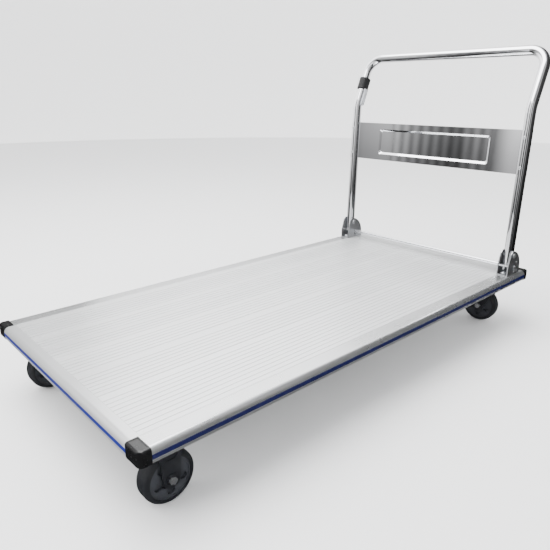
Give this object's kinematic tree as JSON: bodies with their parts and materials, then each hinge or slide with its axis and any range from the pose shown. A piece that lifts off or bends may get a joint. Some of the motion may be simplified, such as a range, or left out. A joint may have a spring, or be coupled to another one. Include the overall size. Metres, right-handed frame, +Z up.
{
  "type": "folding platform cart",
  "caption": "Platform cart with a grooved aluminium deck, edge rails and corner caps, rigid and swivel casters, and a push handle that folds flat over the deck once a foot bar is pressed.",
  "frame": {"origin": "on the floor, under the centre of the deck", "axes": "+X towards the handle end, +Y towards the side whose upright carries the collar, +Z up"},
  "size_m": [1.2212, 0.6112, 0.7405],
  "materials": {
    "bolt_zinc": "zinc plated",
    "bracket_zinc": "zinc plated",
    "chrome_tube": "polished",
    "collar_plastic": "fine moulded",
    "corner_cap": "gloss black",
    "edge_strip": "semi-gloss blue",
    "fork_paint": "semi-gloss black",
    "member_steel": "zinc plated",
    "panel_sheet": "bright rolled",
    "plank_aluminium": "satin, lengthwise drawn",
    "plug_plastic": "moulded",
    "rail_aluminium": "satin",
    "rod_steel": "bright zinc",
    "spring_steel": "drawn wire",
    "tab_plastic": "moulded grey",
    "tyre_rubber": "matt dark grey",
    "wheel_plastic": "satin dark grey"
  },
  "bodies": {
    "deck": {"bracket_bolts": "bolt_zinc", "bracket_rivets": "bolt_zinc", "caster_bolts": "bolt_zinc", "corner_cap_front_left": "corner_cap", "corner_cap_front_right": "corner_cap", "corner_cap_rear_left": "corner_cap", "corner_cap_rear_right": "corner_cap", "cross_member_front": "member_steel", "cross_member_middle": "member_steel", "cross_member_rear": "member_steel", "deck_plank_1": "plank_aluminium", "deck_plank_2": "plank_aluminium", "deck_plank_3": "plank_aluminium", "deck_plank_4": "plank_aluminium", "deck_plank_5": "plank_aluminium", "deck_plank_6": "plank_aluminium", "edge_strip_front": "edge_strip", "edge_strip_left": "edge_strip", "edge_strip_rear": "edge_strip", "edge_strip_right": "edge_strip", "end_rail_front": "rail_aluminium", "end_rail_rear": "rail_aluminium", "hinge_bracket_left": "bracket_zinc", "hinge_bracket_right": "bracket_zinc", "kingpins": "bolt_zinc", "lock_springs": "spring_steel", "member_screws": "bolt_zinc", "pivot_pins": "bolt_zinc", "rigid_axle_left": "bolt_zinc", "rigid_axle_right": "bolt_zinc", "rigid_fork_left": "fork_paint", "rigid_fork_right": "fork_paint", "side_rail_left": "rail_aluminium", "side_rail_right": "rail_aluminium", "stop_plates": "rod_steel", "swivel_plate_left": "fork_paint", "swivel_plate_right": "fork_paint"},
    "handle": {"handle_tube": "chrome_tube", "foot_plug_left": "plug_plastic", "foot_plug_right": "plug_plastic", "back_panel": "panel_sheet", "panel_rivets": "bolt_zinc", "collar_front": "collar_plastic", "collar_back": "collar_plastic", "collar_screws": "bolt_zinc", "hang_tab": "tab_plastic"},
    "lock_bar": {"lock_rod": "rod_steel", "rod_clips": "rod_steel"},
    "swivel_right": {"swivel_fork_right": "fork_paint", "swivel_axle_right": "bolt_zinc"},
    "swivel_left": {"swivel_fork_left": "fork_paint", "swivel_axle_left": "bolt_zinc"},
    "swivel_wheel_right": {"swivel_wheel_right": "wheel_plastic", "swivel_tyre_right": "tyre_rubber"},
    "swivel_wheel_left": {"swivel_wheel_left": "wheel_plastic", "swivel_tyre_left": "tyre_rubber"},
    "rigid_wheel_right": {"rigid_wheel_right": "wheel_plastic", "rigid_tyre_right": "tyre_rubber"},
    "rigid_wheel_left": {"rigid_wheel_left": "wheel_plastic", "rigid_tyre_left": "tyre_rubber"}
  },
  "joints": [
    {"name": "handle_fold", "type": "hinge", "parent": "deck", "child": "handle", "pos_m": [0.53, 0, 0.207], "axis": [0, -1, 0], "range_deg": [0, 92]},
    {"name": "lock_bar_press", "type": "slide", "parent": "deck", "child": "lock_bar", "axis": [0, 0, -1], "range_m": [0, 0.009], "stiffness_N_per_m": 1500, "springref_m": -0.006, "deforming": ["lock_springs"]},
    {"name": "swivel_right_turn", "type": "hinge", "parent": "deck", "child": "swivel_right", "pos_m": [0.536, -0.243, 0.11], "axis": [0, 0, 1], "continuous": true},
    {"name": "swivel_wheel_right_spin", "type": "hinge", "parent": "swivel_right", "child": "swivel_wheel_right", "pos_m": [0.53346, -0.21712, 0.047], "axis": [-0.9952, -0.0976, 0], "continuous": true},
    {"name": "rigid_wheel_right_spin", "type": "hinge", "parent": "deck", "child": "rigid_wheel_right", "pos_m": [-0.536, -0.243, 0.047], "axis": [0, 1, 0], "continuous": true},
    {"name": "swivel_left_turn", "type": "hinge", "parent": "deck", "child": "swivel_left", "pos_m": [0.536, 0.243, 0.11], "axis": [0, 0, 1], "continuous": true},
    {"name": "swivel_wheel_left_spin", "type": "hinge", "parent": "swivel_left", "child": "swivel_wheel_left", "pos_m": [0.54141, 0.21757, 0.047], "axis": [0.9781, 0.2079, 0], "continuous": true},
    {"name": "rigid_wheel_left_spin", "type": "hinge", "parent": "deck", "child": "rigid_wheel_left", "pos_m": [-0.536, 0.243, 0.047], "axis": [0, 1, 0], "continuous": true}
  ]
}
